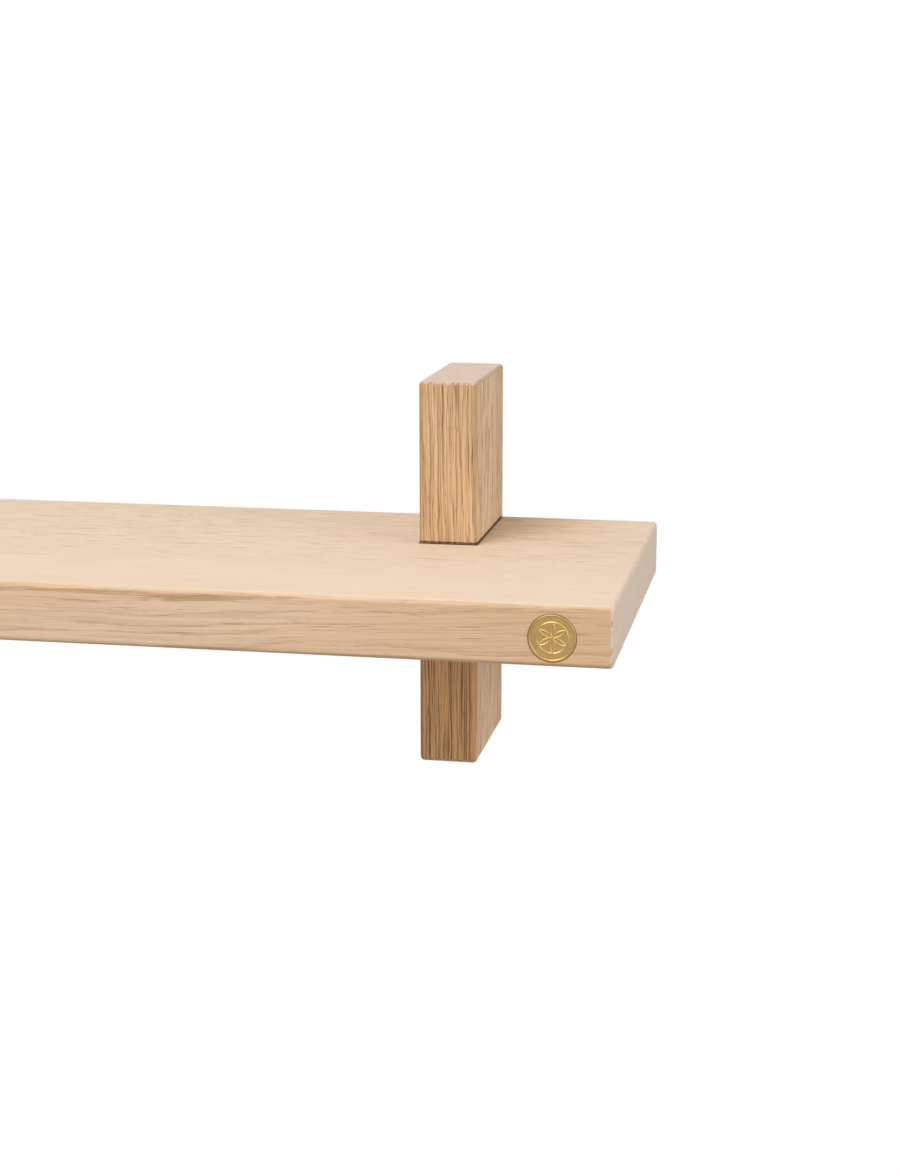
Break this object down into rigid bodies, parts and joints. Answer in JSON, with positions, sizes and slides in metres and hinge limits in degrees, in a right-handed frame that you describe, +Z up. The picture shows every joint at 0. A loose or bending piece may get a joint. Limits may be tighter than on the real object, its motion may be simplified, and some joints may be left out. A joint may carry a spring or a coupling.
{
  "type": "bicycle wall rack",
  "caption": "Solid oak wall shelf with a leather-lined slot in its front edge that a bicycle hangs from by its saddle, two housed wall posts and hidden keyhole hangers.",
  "frame": {"origin": "middle of the shelf's back edge on the wall plane, at half the shelf's thickness", "axes": "+X along the shelf to the right as seen from the room, +Y into the wall, +Z up"},
  "size_m": [0.8, 0.2559, 0.206],
  "materials": {
    "oak": "pale oak, matt oil, planed and sanded, eased edges",
    "brass": "satin brushed brass",
    "leather": "vegetable-tanned strap leather",
    "zinc_steel": "bright zinc-plated",
    "nylon": "moulded grey nylon",
    "pad_rubber": "soft matt rubber"
  },
  "bodies": {
    "wall_fixings": {"wall_screw_left": "zinc_steel", "wall_screw_right": "zinc_steel", "wall_plug_left": "nylon", "wall_plug_right": "nylon"},
    "rack": {"shelf": "oak", "post_left": "oak", "post_right": "oak", "saddle_liner": "leather", "medallion": "brass", "draw_screw_left": "zinc_steel", "draw_screw_right": "zinc_steel", "draw_washer_left": "zinc_steel", "draw_washer_right": "zinc_steel", "hanger_plate_left": "zinc_steel", "hanger_plate_right": "zinc_steel", "hanger_screw_left_upper": "zinc_steel", "hanger_screw_left_lower": "zinc_steel", "hanger_screw_right_upper": "zinc_steel", "hanger_screw_right_lower": "zinc_steel", "wall_pad_left": "pad_rubber", "wall_pad_right": "pad_rubber"}
  },
  "joints": [
    {"name": "lift_off", "type": "slide", "parent": "wall_fixings", "child": "rack", "axis": [0, 0, 1], "range_m": [0, 0.012]}
  ]
}
